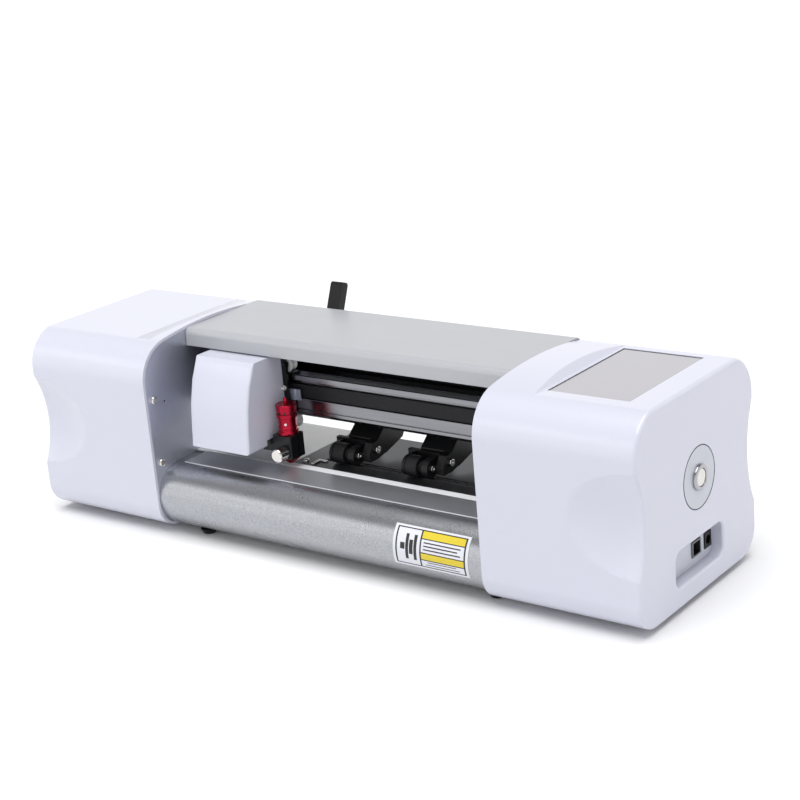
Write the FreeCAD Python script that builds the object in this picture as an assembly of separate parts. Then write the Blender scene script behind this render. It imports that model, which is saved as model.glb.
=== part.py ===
"""Desktop film and vinyl cutter: two moulded end caps, a sheet-metal bed between them, a belt-driven
carriage with a drag-knife head, and a grit shaft with two pinch rollers that a rear lever lifts.

Millimetres. Origin on the table under the middle of the machine. X runs along the machine towards
the cap with the screen, Y runs from the operator's side to the rear, Z is up.
"""
import FreeCAD, Part

import math
import os

# --- driving dimensions -------------------------------------------------------------------------
cap_left_end, cap_right_end = -268.0, 266.0
bed_half = 147.0  # the caps' inner edges stand at X = -147 and +147
cap_half_width, cap_top, foot_height = 80.0, 153.0, 4.0
crown_radius, shoulder_radius, hem_radius = 340.0, 30.0, 20.0
cap_wall = 2.2
facet_z = 148.0  # the flat on top of each cap, which leaves a raised band beside the cover
facet_edge = {"left": -171.0, "right": 182.5}
facet_ramp = {"left": 12.0, "right": 5.0}
scoop_centre_z, scoop_offset, scoop_axes = 77.5, 69.0, (117.0, 77.6, 79.0)

sheet = 1.5
frame_sheet = 2.0
roll_radius, roll_y, roll_z = 24.6, -53.5, 28.6
bed_back = 52.0
deck_top, deck_sheet = 54.2, 1.0
platen_front, platen_left = -57.0, -137.0
strip_front, strip_back = -31.4, -24.6
deck_split = -57.0

grit_y, grit_z, grit_radius, journal_radius = -7.3, 50.75, 3.75, 2.0
grit_slot = (-38.0, 144.0)
bearing_radius = 5.0

rail_front, rail_back = -10.5, 9.5
rail_bottom, rail_top, ridge_height = 86.0, 121.0, 3.0
ridge_y = -6.9
belt_channel = (100.3, 114.2)
belt_thick, belt_low, belt_high = 1.4, 101.0, 111.0
belt_radius, belt_y, pulley_x = 9.2, 1.0, 172.0

wheel_radius, groove_radius, wheel_width = 6.4, 4.2, 6.0
ridge_gap = 0.35
wheel_x = (-108.0, -67.0)

plate_front, plate_back = -15.4, -13.0
cover_left, cover_right, cover_wall = -123.2, -66.8, 2.0
cover_bottom, notch_y, notch_z = 70.2, -39.7, 75.2

tool_x, tool_y = -53.5, -30.0
clamp_box = (-62.0, -45.0, -38.8, -22.8, 62.5, 80.0)
screw_x, screw_z = -51.0, 68.0

arm_pivot_y, arm_pivot_z, arm_pivot_radius = 30.0, 90.0, 3.0
cam_y, cam_z, cam_shaft_radius, cam_radius, cam_throw = 46.0, 100.0, 4.0, 7.0, 2.6
roller_y, roller_z, roller_radius = -10.0, 62.3, 7.8
axle_radius = 1.5
roller_pitch = 66.0

button_y, button_z = 1.0, 84.4
run = 0.05  # radial running clearance of a shaft in its bore

os.makedirs("parts", exist_ok=True)
V = FreeCAD.Vector
AXES = {"x": V(1, 0, 0), "y": V(0, 1, 0), "z": V(0, 0, 1)}


def save(name, *solids):
    """Writes one sub-part; separate solids become one compound."""
    shape = solids[0] if len(solids) == 1 else Part.makeCompound(list(solids))
    if not shape.isValid():
        print("invalid shape:", name)
    shape.exportStep("parts/" + name + ".step")
    print(name, len(shape.Solids), "solids", round(shape.Volume), "mm3")
    return shape


def block(x0, x1, y0, y1, z0, z1):
    return Part.makeBox(x1 - x0, y1 - y0, z1 - z0, V(x0, y0, z0))


def rod(axis, start, centre, radius, length):
    """Cylinder along an axis; centre holds the two other coordinates in X, Y, Z order."""
    a, b = centre
    base = {"x": V(start, a, b), "y": V(a, start, b), "z": V(a, b, start)}[axis]
    return Part.makeCylinder(radius, length, base, AXES[axis])


def tube(axis, start, centre, outer, inner, length):
    return rod(axis, start, centre, outer, length).cut(rod(axis, start - 1, centre, inner, length + 2))


def fuse(*shapes):
    joined = shapes[0]
    for shape in shapes[1:]:
        joined = joined.fuse(shape)
    return joined.removeSplitter()


def cut(shape, *tools):
    for tool in tools:
        shape = shape.cut(tool)
    return shape


def profile_x(points, x0, x1):
    """Extrudes a closed (Y, Z) outline from x0 to x1."""
    wire = Part.makePolygon([V(x0, y, z) for y, z in points + points[:1]])
    return Part.Face(wire).extrude(V(x1 - x0, 0, 0))


def profile_y(points, y0, y1):
    """Extrudes a closed (X, Z) outline from y0 to y1."""
    wire = Part.makePolygon([V(x, y0, z) for x, z in points + points[:1]])
    return Part.Face(wire).extrude(V(0, y1 - y0, 0))


def soften(shape, radius, pick):
    """Fillets the edges whose centre passes the test."""
    edges = [e for e in shape.Edges if pick(e)]
    return shape.makeFillet(radius, edges) if edges else shape


def along(edge, axis):
    """True for a straight edge parallel to an axis."""
    if not isinstance(edge.Curve, (Part.Line, Part.LineSegment)):
        return False
    return abs(edge.tangentAt(edge.FirstParameter).dot(AXES[axis])) > 0.999


def cap_section(inset, x):
    """Face of the cap's cross-section: crowned top, round shoulders, upright sides, flat base."""
    w, top, base = cap_half_width - inset, cap_top - inset, foot_height + inset
    rc, rt, rb = crown_radius - inset, shoulder_radius - inset, hem_radius - inset
    cy, crown_z = w - rt, top - rc
    cz = crown_z + math.sqrt((rc - rt) ** 2 - cy ** 2)
    lean = math.atan2(cz - crown_z, cy)
    ty, tz = rc * math.cos(lean), crown_z + rc * math.sin(lean)
    my, mz = cy + rt * math.cos(lean / 2), cz + rt * math.sin(lean / 2)
    hy, hz = w - rb + rb * math.sqrt(0.5), base + rb - rb * math.sqrt(0.5)
    edges = [Part.Arc(V(x, -ty, tz), V(x, 0, top), V(x, ty, tz))]
    edges += [Part.Arc(V(x, ty, tz), V(x, my, mz), V(x, w, cz))]
    edges += [Part.LineSegment(V(x, w, cz), V(x, w, base + rb))]
    edges += [Part.Arc(V(x, w, base + rb), V(x, hy, hz), V(x, w - rb, base))]
    edges += [Part.LineSegment(V(x, w - rb, base), V(x, rb - w, base))]
    edges += [Part.Arc(V(x, rb - w, base), V(x, -hy, hz), V(x, -w, base + rb))]
    edges += [Part.LineSegment(V(x, -w, base + rb), V(x, -w, cz))]
    edges += [Part.Arc(V(x, -w, cz), V(x, -my, mz), V(x, -ty, tz))]
    return Part.Face(Part.Wire([e.toShape() for e in edges]))


def cap_prism(inset, x0, x1):
    return cap_section(inset, x0).extrude(V(x1 - x0, 0, 0))


def scoops(end_x, grow):
    """The two shallow ellipsoid finger scoops at a cap's outer end."""
    tools = []
    for side in (-1, 1):
        matrix = FreeCAD.Matrix()
        matrix.scale(*(axis + grow for axis in scoop_axes))
        matrix.move(V(end_x, side * (cap_half_width + scoop_offset), scoop_centre_z))
        tools.append(Part.makeSphere(1.0).transformGeometry(matrix))
    return tools


def facet(side, end_x, drop):
    """Cutter above the flat on top of a cap, with the ramp up to the band beside the cover."""
    out = 1 if side == "right" else -1
    run_out, rise = facet_ramp[side], cap_top - facet_z
    edge = facet_edge[side] - out * drop * (math.hypot(run_out, rise) - run_out) / rise
    low, high = facet_z - drop, cap_top + 6
    climb = run_out * (high - low) / rise
    points = [(end_x + out * 4, low), (edge, low), (edge - out * climb, high), (end_x + out * 4, high)]
    return profile_y(points, -90, 90)


def recess(grow):
    """Round-cornered pocket in the right end face that the sockets sit in."""
    pocket = block(cap_right_end - 9 - grow, cap_right_end + 4,
                   -33 - grow, 32.4 + grow, 18.8 - grow, 43 + grow)
    return soften(pocket, 6 + grow, lambda e: along(e, "x"))


# --- end caps -----------------------------------------------------------------------------------
boss_places = [(side * 71.5, z) for side in (-1, 1) for z in (56.8, 106.1)]


def cap_bosses(out):
    """Screw bosses behind the side frame, carried on the cap's front and rear walls."""
    start = bed_half + frame_sheet
    made = []
    for y, z in boss_places:
        wall_y = math.copysign(cap_half_width - 1, y)
        low, high = sorted((y, wall_y))
        arm = block(start, start + 10, low, high, z - 3.5, z + 3.5)
        boss = arm.fuse(rod("x", start, (y, z), 3.5, 10)).cut(rod("x", start - 1, (y, z), 1.5, 9))
        made.append(boss if out > 0 else boss.mirror(V(0, 0, 0), V(1, 0, 0)))
    return made


def make_cap(side):
    out, end_x = (1, cap_right_end) if side == "right" else (-1, cap_left_end)
    rim = out * bed_half
    outer = cut(cap_prism(0, rim, end_x), facet(side, end_x, 0), *scoops(end_x, 0))
    outer = soften(outer, 2.5, lambda e: abs(e.CenterOfMass.x - end_x) < 0.01)
    inner = cap_prism(cap_wall, rim - out, end_x - out * cap_wall)
    inner = cut(inner, facet(side, end_x, cap_wall), *scoops(end_x, cap_wall))
    if side == "right":
        inner = inner.cut(recess(2))
        outer = outer.cut(recess(0))
        lip = [e for e in outer.Edges if abs(e.CenterOfMass.x - end_x) < 0.05 and
               abs(e.CenterOfMass.z - 31) < 13 and abs(e.CenterOfMass.y) < 34]
        outer = outer.makeFillet(2.0, lip)
    return fuse(outer.cut(inner), *cap_bosses(out))


screen_x, screen_y = (185.7, 245.3), (-47.0, 50.6)
usb_y, dc_y, socket_z = 8.3, 24.3, 31.0

left_cap = make_cap("left")
save("left_end_cap", left_cap)

right_cap = make_cap("right")
gap = 0.4
window = block(screen_x[0] - gap, screen_x[1] + gap, screen_y[0] - gap, screen_y[1] + gap, 140, 150)
disc_pocket = rod("x", cap_right_end - 0.6, (button_y, button_z), 21.6, 2)
button_hole = rod("x", cap_right_end - 5, (button_y, button_z), 8.1, 8)
usb_hole = block(254, 260, usb_y - 6.1, usb_y + 6.1, socket_z - 5.9, socket_z + 5.7)
dc_hole = block(254, 260, dc_y - 4.6, dc_y + 4.6, socket_z - 5.9, socket_z + 5.7)
right_cap = cut(right_cap, window, disc_pocket, button_hole, usb_hole, dc_hole)
save("right_end_cap", right_cap)

# --- side frames --------------------------------------------------------------------------------
shaft_holes = [(cam_y, cam_z, cam_shaft_radius + run), (grit_y, grit_z, bearing_radius)]


def make_side_frame(out):
    low, high = sorted((out * bed_half, out * (bed_half + frame_sheet)))
    plate = cap_prism(cap_wall + 0.2, low, high)
    tools = [rod("x", low - 1, (y, z), r, 4) for y, z, r in shaft_holes]
    tools += [rod("x", low - 1, (y, z), 1.6, 4) for y, z in boss_places]
    for run_y in (belt_y - belt_radius, belt_y + belt_radius):
        tools.append(block(low - 1, high + 1, run_y - 2.6, run_y + 2.6, belt_low - 1, belt_high + 1))
    tools.append(rod("x", low - 1, (-60.0, 102.0), 0.8, 4))
    return cut(plate, *tools)


board_x = 215.0
board_holes = [(y, z) for y in (-48, 41) for z in (66, 120)]
save("left_side_frame", make_side_frame(-1))
standoffs = [rod("x", bed_half + 0.5, place, 3.0, board_x - bed_half - 0.5) for place in board_holes]
save("right_side_frame", fuse(make_side_frame(1), *standoffs))


def machine_screw(y, z, out, head=3.0, shank=1.45, length=9.0, rise=2.2):
    """Pan-head screw along X; the head stands on the bed's side of the frame."""
    dome = rod("x", 0, (y, z), head, rise)
    dome = soften(dome, rise * 0.55, lambda e: abs(e.CenterOfMass.x) < 0.01)
    cross = block(-0.1, 0.9, y - 1.6, y + 1.6, z - 0.35, z + 0.35)
    cross = cross.fuse(block(-0.1, 0.9, y - 0.35, y + 0.35, z - 1.6, z + 1.6))
    screw = dome.cut(cross).fuse(rod("x", rise, (y, z), shank, length))
    screw.translate(V(bed_half - rise, 0, 0))
    return screw if out > 0 else screw.mirror(V(0, 0, 0), V(1, 0, 0))


side_screws = [machine_screw(y, z, out) for out in (-1, 1) for y, z in boss_places]

# --- bed ----------------------------------------------------------------------------------------


def bed_outline(inset):
    """(Y, Z) wire of the bed sheet: open strip on top, front roll, base and low rear wall."""
    r, rear_r = roll_radius - inset, 6 - inset
    top, base, back = roll_z + r, roll_z - r, bed_back - inset
    lip_y = -36.0
    q = math.sqrt(0.5)
    edges = [Part.LineSegment(V(0, lip_y, top), V(0, roll_y, top))]
    edges += [Part.Arc(V(0, roll_y, top), V(0, roll_y - r, roll_z), V(0, roll_y, base))]
    edges += [Part.LineSegment(V(0, roll_y, base), V(0, back - rear_r, base))]
    cy, cz = back - rear_r, base + rear_r
    edges += [Part.Arc(V(0, cy, base), V(0, cy + q * rear_r, cz - q * rear_r), V(0, back, cz))]
    hz = top - rear_r
    edges += [Part.LineSegment(V(0, back, cz), V(0, back, hz))]
    edges += [Part.Arc(V(0, back, hz), V(0, cy + q * rear_r, hz + q * rear_r), V(0, cy, top))]
    edges += [Part.LineSegment(V(0, cy, top), V(0, 38, top))]
    return [e.toShape() for e in edges]


def bent_sheet(outer, inner, half):
    """Solid between two open (Y, Z) wires that share their end heights."""
    first, last = outer[0].valueAt(outer[0].FirstParameter), outer[-1].valueAt(outer[-1].LastParameter)
    first_in = inner[0].valueAt(inner[0].FirstParameter)
    last_in = inner[-1].valueAt(inner[-1].LastParameter)
    ends = [Part.LineSegment(last, last_in).toShape(), Part.LineSegment(first_in, first).toShape()]
    wire = Part.Wire(Part.__sortEdges__(outer + [ends[0]] + inner + [ends[1]]))
    solid = Part.Face(wire).extrude(V(2 * half, 0, 0))
    solid.translate(V(-half, 0, 0))
    return solid


bed_sheet = bent_sheet(bed_outline(0), bed_outline(sheet), bed_half)

feet_places = [(x, y) for x in (-119.0, 143.0) for y in (-57.5, 44.0)]


def foot(x, y):
    """Rubber dome foot."""
    body = Part.makeCone(4.6, 6.5, foot_height, V(x, y, 0), V(0, 0, 1))
    return soften(body, 1.2, lambda e: e.CenterOfMass.z < 0.1)


save("rubber_feet", *[foot(x, y) for x, y in feet_places])

bar_top = deck_top - deck_sheet
strip_bar = block(-bed_half, bed_half, -35.8, -14.6, 46.5, bar_top)

front_platen = block(platen_left, bed_half - 0.2, platen_front, strip_front - 0.2, bar_top, deck_top)
front_platen = soften(front_platen, 0.6, lambda e: e.CenterOfMass.y < platen_front + 0.1
                      and e.CenterOfMass.z > deck_top - 0.1)
save("front_platen", front_platen)
save("cutting_strip", block(-bed_half, bed_half, strip_front, strip_back, bar_top, deck_top + 0.1))

rear_left = block(-bed_half, deck_split - 0.2, strip_back + 0.2, bed_back - 1, bar_top, deck_top)
sensor_slot = block(-68, -63.4, -10.0, -7.0, 50, 56).fuse(
    rod("z", 50, (-68, -8.5), 1.5, 6)).fuse(rod("z", 50, (-63.4, -8.5), 1.5, 6))
rear_left = rear_left.cut(sensor_slot)
deck_screws_at = [(-50.4, -17.4), (-132.0, -17.4), (132.0, -17.4), (-132.0, 42.0), (132.0, 42.0)]
screw_bores = [rod("z", 44, place, 1.55, 12) for place in deck_screws_at]
rear_left = cut(rear_left, *screw_bores)
grit_window = block(grit_slot[0], grit_slot[1], grit_y - 3.3, grit_y + 3.3, 50, 56)
rear_right = block(deck_split + 0.2, bed_half, strip_back + 0.2, bed_back - 1, bar_top, deck_top)
save("rear_deck_plates", rear_left, cut(rear_right, grit_window, *screw_bores))


def deck_screw(x, y):
    dome = rod("z", deck_top, (x, y), 2.4, 1.5)
    dome = soften(dome, 0.9, lambda e: abs(e.CenterOfMass.z - deck_top - 1.5) < 0.01)
    cross = block(x - 1.4, x + 1.4, y - 0.3, y + 0.3, deck_top + 0.8, deck_top + 2)
    cross = cross.fuse(block(x - 0.3, x + 0.3, y - 1.4, y + 1.4, deck_top + 0.8, deck_top + 2))
    return dome.cut(cross).fuse(rod("z", deck_top - 5, (x, y), 1.5, 5))


save("pan_head_screws", *side_screws, *[deck_screw(x, y) for x, y in deck_screws_at])
strip_bar = cut(strip_bar, *screw_bores)
save("strip_support_bar", strip_bar)
bed_sheet = cut(bed_sheet, *screw_bores)
save("bed_sheet", bed_sheet)

label_angles = (-22.8, 45.6)
label_skin = tube("x", 73, (roll_y, roll_z), roll_radius + 0.25, roll_radius, 62)
spokes = [(roll_y - 40 * math.cos(math.radians(a)), roll_z + 40 * math.sin(math.radians(a)))
          for a in (label_angles[0], 11.4, label_angles[1])]
save("apron_label", label_skin.common(profile_x([(roll_y, roll_z)] + spokes, 73, 135)))

# --- top cover ----------------------------------------------------------------------------------
cover_top, lip_y, lip_z, cover_back, cover_low = 150.5, -30.0, 137.0, 59.0, 88.0


def cover_outline(inset):
    """(Y, Z) wire of the cover sheet: front lip, top and rear wall."""
    front, top, back, r, rear_r = lip_y + inset, cover_top - inset, cover_back - inset, 5 - inset, 6 - inset
    q = math.sqrt(0.5)
    edges = [Part.LineSegment(V(0, front, lip_z), V(0, front, top - r))]
    edges += [Part.Arc(V(0, front, top - r), V(0, front + r - q * r, top - r + q * r),
                       V(0, front + r, top))]
    edges += [Part.LineSegment(V(0, front + r, top), V(0, back - rear_r, top))]
    edges += [Part.Arc(V(0, back - rear_r, top),
                       V(0, back - rear_r + q * rear_r, top - rear_r + q * rear_r),
                       V(0, back, top - rear_r))]
    edges += [Part.LineSegment(V(0, back, top - rear_r), V(0, back, cover_low))]
    return [e.toShape() for e in edges]


lever_x = (-84.8, -73.6)
top_cover = bent_sheet(cover_outline(0), cover_outline(sheet), bed_half - 0.3)
lever_slot = block(lever_x[0] - 4, lever_x[1] + 4, 50, 70, 92, 141)
lever_slot = soften(lever_slot, 5, lambda e: along(e, "y"))
save("top_cover", top_cover.cut(lever_slot))

# --- rail, belt and its pulleys -------------------------------------------------------------------
body_low, body_high = rail_bottom + ridge_height, rail_top - ridge_height
rail = block(-bed_half, bed_half, rail_front, rail_back, body_low, body_high)
for tip, base in ((rail_bottom, body_low), (rail_top, body_high)):
    over = 0.5 if tip > base else -0.5
    rail = rail.fuse(profile_x([(ridge_y - 2.6, base - over), (ridge_y - 0.3, tip), (ridge_y + 0.3, tip),
                                (ridge_y + 2.6, base - over)], -bed_half, bed_half))
rail = rail.cut(block(-200, 200, rail_front - 1, rail_front + 3.4, *belt_channel))
rail = rail.cut(block(-200, 200, rail_front - 1, rail_front + 0.9, 91.6, 92.4))
for cavity in ((-5.0, 7.5, 93.2, 98.6), (-4.5, 7.5, 101.5, 110.5), (-5.0, 7.5, 113.0, 114.6)):
    rail = rail.cut(block(-200, 200, *cavity))
rail = rail.removeSplitter()
save("rail", rail)

outer_r = belt_radius + belt_thick


def belt_ring(radius):
    ring = block(-pulley_x, pulley_x, belt_y - radius, belt_y + radius, belt_low, belt_high)
    for x in (-pulley_x, pulley_x):
        ring = ring.fuse(rod("z", belt_low, (x, belt_y), radius, belt_high - belt_low))
    return ring.removeSplitter()


save("carriage_belt", belt_ring(outer_r).cut(belt_ring(belt_radius)))


def toothed_pulley(x, bore):
    """Flanged timing pulley on a vertical axis."""
    low, high = belt_low - 0.3, belt_high + 0.3
    wheel = rod("z", low, (x, belt_y), belt_radius - 0.3, high - low)
    teeth = [rod("z", low, (x + (belt_radius - 0.2) * math.cos(math.radians(a)),
                            belt_y + (belt_radius - 0.2) * math.sin(math.radians(a))), 0.55, high - low)
             for a in range(0, 360, 15)]
    flanges = [rod("z", z, (x, belt_y), belt_radius + 2.6, 1.5) for z in (low - 1.5, high)]
    return fuse(cut(wheel, *teeth), *flanges).cut(rod("z", belt_low - 3, (x, belt_y), bore, 20))


motor_shaft, idler_pin = 2.5, 2.5
shaft = rod("z", 89.2, (-pulley_x, belt_y), motor_shaft - run, 24)
save("carriage_motor_pulley", fuse(toothed_pulley(-pulley_x, motor_shaft - 0.5), shaft))
save("idler_pulley", toothed_pulley(pulley_x, idler_pin + run))


def stepper_body(low, high):
    """Square motor body on a vertical axis, chamfered at its corners."""
    x, y, half = -pulley_x, belt_y, 21.0
    body = block(x - half, x + half, y - half, y + half, low, high)
    return body.makeChamfer(3.5, [e for e in body.Edges if along(e, "z")])


plate_z = 98.0
motor_plate = block(-pulley_x - 23, -bed_half - frame_sheet, belt_y - 23, belt_y + 23, plate_z - 3, plate_z)
motor_plate = motor_plate.fuse(block(-bed_half - frame_sheet - 3, -bed_half - frame_sheet,
                                     belt_y - 23, belt_y + 23, plate_z - 26, plate_z))
motor_plate = motor_plate.cut(rod("z", plate_z - 5, (-pulley_x, belt_y), 11.2, 8))
save("carriage_motor_bracket", motor_plate.removeSplitter())
motor = stepper_body(plate_z - 43, plate_z - 3).fuse(rod("z", plate_z - 3, (-pulley_x, belt_y), 11.0, 1.9))
motor = motor.cut(block(-bed_half - frame_sheet - 3, -bed_half, -40, 40, 40, 96))
motor = motor.cut(rod("z", plate_z - 9, (-pulley_x, belt_y), motor_shaft, 20))
save("carriage_motor", motor)

idler_bracket = block(bed_half + frame_sheet, pulley_x + 12, belt_y - 12, belt_y + 12,
                      plate_z - 4.4, plate_z - 1.4)
idler_bracket = idler_bracket.fuse(block(bed_half + frame_sheet, bed_half + frame_sheet + 3,
                                         belt_y - 12, belt_y + 12, plate_z - 24, plate_z - 1.4))
idler_post = rod("z", plate_z - 3, (pulley_x, belt_y), idler_pin, 19)
idler_head = rod("z", plate_z - 8, (pulley_x, belt_y), 4.2, 4)
save("idler_bracket", fuse(idler_bracket, idler_post, idler_head))

# --- film feed ------------------------------------------------------------------------------------
shaft_left, shaft_right = -bed_half - 7, bed_half + 17
grit_shaft = rod("x", shaft_left, (grit_y, grit_z), journal_radius, shaft_right - shaft_left)
grit_shaft = grit_shaft.fuse(rod("x", grit_slot[0] + 0.5, (grit_y, grit_z), grit_radius,
                                 grit_slot[1] - grit_slot[0] - 1))
for ring_x in range(-34, 142, 8):
    ring = tube("x", ring_x, (grit_y, grit_z), grit_radius + 1, grit_radius - 0.25, 0.8)
    grit_shaft = grit_shaft.cut(ring)
save("grit_shaft", grit_shaft)


def shaft_bush(out):
    body = tube("x", 0, (grit_y, grit_z), bearing_radius, journal_radius + run, frame_sheet + 3)
    flange = tube("x", frame_sheet, (grit_y, grit_z), bearing_radius + 2, journal_radius + run, 3)
    bush = body.fuse(flange).removeSplitter()
    bush.translate(V(bed_half, 0, 0))
    return bush if out > 0 else bush.mirror(V(0, 0, 0), V(1, 0, 0))


save("grit_shaft_bushes", shaft_bush(-1), shaft_bush(1))

feed_motor_y, feed_motor_z = 30.0, 36.0
big_radius, small_radius, feed_low, feed_width = 12.0, 6.0, 154.5, 7.0


def feed_pulley(y, z, radius, bore):
    wheel = rod("x", feed_low, (y, z), radius, feed_width)
    for x in (feed_low - 1.3, feed_low + feed_width):
        wheel = wheel.fuse(rod("x", x, (y, z), radius + 1.8, 1.3))
    count = round(radius * 2)
    teeth = [rod("x", feed_low, (y + (radius + 0.1) * math.cos(2 * math.pi * n / count),
                                 z + (radius + 0.1) * math.sin(2 * math.pi * n / count)), 0.5, feed_width)
             for n in range(count)]
    return cut(wheel, rod("x", 140, (y, z), bore, 40), *teeth).removeSplitter()


save("feed_driven_pulley", feed_pulley(grit_y, grit_z, big_radius, journal_radius))
shaft = rod("x", 152.5, (feed_motor_y, feed_motor_z), motor_shaft - run, 20)
pinion = feed_pulley(feed_motor_y, feed_motor_z, small_radius, motor_shaft - 0.5)
save("feed_motor_pulley", fuse(pinion, shaft))


def feed_belt_ring(grow):
    """Loop tangent to both feed pulleys, from its two outer tangent lines."""
    dy, dz = feed_motor_y - grit_y, feed_motor_z - grit_z
    span, heading = math.hypot(dy, dz), math.atan2(dz, dy)
    open_angle = math.acos((big_radius - small_radius) / span)
    r1, r2 = big_radius + grow, small_radius + grow
    corners = []
    for cy, cz, r, sign in ((grit_y, grit_z, r1, 1), (feed_motor_y, feed_motor_z, r2, 1),
                            (feed_motor_y, feed_motor_z, r2, -1), (grit_y, grit_z, r1, -1)):
        angle = heading + sign * open_angle
        corners.append((cy + r * math.cos(angle), cz + r * math.sin(angle)))
    low, high = feed_low + 0.5, feed_low + feed_width - 0.5
    loop = profile_x(corners, low, high)
    loop = loop.fuse(rod("x", low, (grit_y, grit_z), r1, high - low))
    return loop.fuse(rod("x", low, (feed_motor_y, feed_motor_z), r2, high - low)).removeSplitter()


save("feed_belt", feed_belt_ring(1.6).cut(feed_belt_ring(0.3)))

feed_face = 166.5
feed_plate = block(feed_face - 3, feed_face, feed_motor_y - 22, feed_motor_y + 22,
                   feed_motor_z - 22, feed_motor_z + 22)
feed_plate = feed_plate.fuse(block(bed_half + frame_sheet, feed_face, feed_motor_y + 20, feed_motor_y + 23,
                                   feed_motor_z - 22, feed_motor_z + 22))
feed_plate = feed_plate.fuse(block(bed_half + frame_sheet, bed_half + frame_sheet + 2.5, feed_motor_y + 20,
                                   feed_motor_y + 34, feed_motor_z - 22, feed_motor_z + 22))
feed_plate = feed_plate.cut(rod("x", 150, (feed_motor_y, feed_motor_z), 11.2, 20))
save("feed_motor_bracket", feed_plate.removeSplitter())
feed_motor = block(feed_face, feed_face + 40, feed_motor_y - 21, feed_motor_y + 21,
                   feed_motor_z - 21, feed_motor_z + 21)
feed_motor = feed_motor.makeChamfer(3.5, [e for e in feed_motor.Edges if along(e, "x")])
feed_motor = feed_motor.fuse(rod("x", feed_face - 2, (feed_motor_y, feed_motor_z), 11.0, 3))
feed_motor = feed_motor.cut(rod("x", feed_face - 3, (feed_motor_y, feed_motor_z), motor_shaft, 10))
save("feed_motor", feed_motor.removeSplitter())

# --- pinch rollers --------------------------------------------------------------------------------
arm_side = [(3, 58.2), (12, 58.8), (33, 64.5), (43, 80), (55, 87), (55, 92.0), (43, 92.6), (38, 95),
            (26, 97), (21, 88), (14, 80.5), (3, 71.5)]
arm_cheek = [(-8.5, 57.4), (2, 57.0), (12, 59.4), (12, 70), (3, 71.5), (-3, 70.6), (-8.5, 63)]
bolt_place = (0.6, 64.8)


def pinch_arm(shift):
    """Cast arm, hollow below, with a cheek that reaches forward beside the roller."""
    arm = profile_x(arm_side, shift - 24, shift + 3)
    arm = soften(arm, 1.5, lambda e: along(e, "x") and e.CenterOfMass.z < 86)
    cheek = profile_x(arm_cheek, shift - 3.8, shift + 3)
    cheek = soften(cheek, 1.2, lambda e: along(e, "x") and e.CenterOfMass.y < 2.5)
    relief = profile_x([(15, 50), (60, 50), (60, 84), (36, 84), (22, 76), (15, 66)], shift - 20, shift - 1)
    bore = rod("x", shift - 40, (arm_pivot_y, arm_pivot_z), arm_pivot_radius + run, 60)
    return cut(fuse(arm, cheek), relief, bore)


fork_cheeks = ((-27.6, -25.2, 7.4), (-10.8, -5.2, 6.8))


def roller_fork(shift):
    """Bridge behind the roller with a thin left cheek and a thick right cheek."""
    parts = [block(shift - 33, shift - 5.2, -0.6, 3, 57.4, 70.6)]
    for x0, x1, nose in fork_cheeks:
        parts.append(rod("x", shift + x0, (roller_y, roller_z), nose, x1 - x0))
        parts.append(block(shift + x0, shift + x1, roller_y, 1, roller_z - nose + 1.6, roller_z + nose))
    space = rod("x", shift + fork_cheeks[0][1], (roller_y, roller_z), roller_radius + 0.7,
                fork_cheeks[1][0] - fork_cheeks[0][1])
    return cut(fuse(*parts), space, rod("x", shift - 40, (roller_y, roller_z), axle_radius, 40))


def roller(shift):
    body = rod("x", shift - 24.8, (roller_y, roller_z), roller_radius, 10.4)
    body = soften(body, 0.9, lambda e: True)
    hub = rod("x", shift - 14.6, (roller_y, roller_z), 4.6, 1.8)
    bore = rod("x", shift - 40, (roller_y, roller_z), axle_radius + run, 40)
    return body.fuse(hub).cut(bore).removeSplitter()


def roller_axle(shift):
    start, end = shift + fork_cheeks[0][0], shift + fork_cheeks[1][1]
    axle = rod("x", start, (roller_y, roller_z), axle_radius, end - start)
    collar = rod("x", shift - 12.4, (roller_y, roller_z), 3.2, 1.6)
    head = soften(rod("x", end, (roller_y, roller_z), 2.6, 1.2), 0.4, lambda e: e.CenterOfMass.x > end + 1)
    turns = [math.radians(a) for a in range(0, 361, 60)]
    corners = [V(end + 2, roller_y + 1.2 * math.cos(t), roller_z + 1.2 * math.sin(t)) for t in turns]
    socket = Part.Face(Part.makePolygon(corners)).extrude(V(-1.5, 0, 0))
    return fuse(axle, collar, head).cut(socket)


def arm_bolt(shift):
    head = rod("x", shift + 3, bolt_place, 2.9, 2.2)
    head = soften(head, 0.5, lambda e: e.CenterOfMass.x > shift + 5)
    return head.cut(rod("x", shift + 4.2, bolt_place, 1.3, 2))


arm_shift = {"left": 0.0, "right": roller_pitch}
save("pinch_arms", *[pinch_arm(shift) for shift in arm_shift.values()])
save("roller_forks", *[roller_fork(shift) for shift in arm_shift.values()])
save("roller_axles_and_bolts",
     *[make(shift) for shift in arm_shift.values() for make in (roller_axle, arm_bolt)])
for side, shift in arm_shift.items():
    save("pinch_roller_" + side, roller(shift))

pivot_shaft = rod("x", -bed_half, (arm_pivot_y, arm_pivot_z), arm_pivot_radius, 2 * bed_half)
shoulders = [rod("x", shift + x, (arm_pivot_y, arm_pivot_z), 5.5, 5)
             for shift in arm_shift.values() for x in (-29.5, 3.5)]
save("arm_pivot_shaft", fuse(pivot_shaft, *shoulders))

# --- lift lever -----------------------------------------------------------------------------------


def lift_cam(shift):
    """Eccentric disc over an arm's tail; turning the shaft back brings its low side down."""
    rest = math.radians(30)
    centre = (cam_y + cam_throw * math.cos(rest), cam_z + cam_throw * math.sin(rest))
    return rod("x", shift - 16, centre, cam_radius, 12)


cam_shaft = rod("x", -bed_half - 5, (cam_y, cam_z), cam_shaft_radius, 2 * bed_half + 10)
save("lift_cam_shaft", fuse(cam_shaft, *[lift_cam(shift) for shift in arm_shift.values()]))


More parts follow.
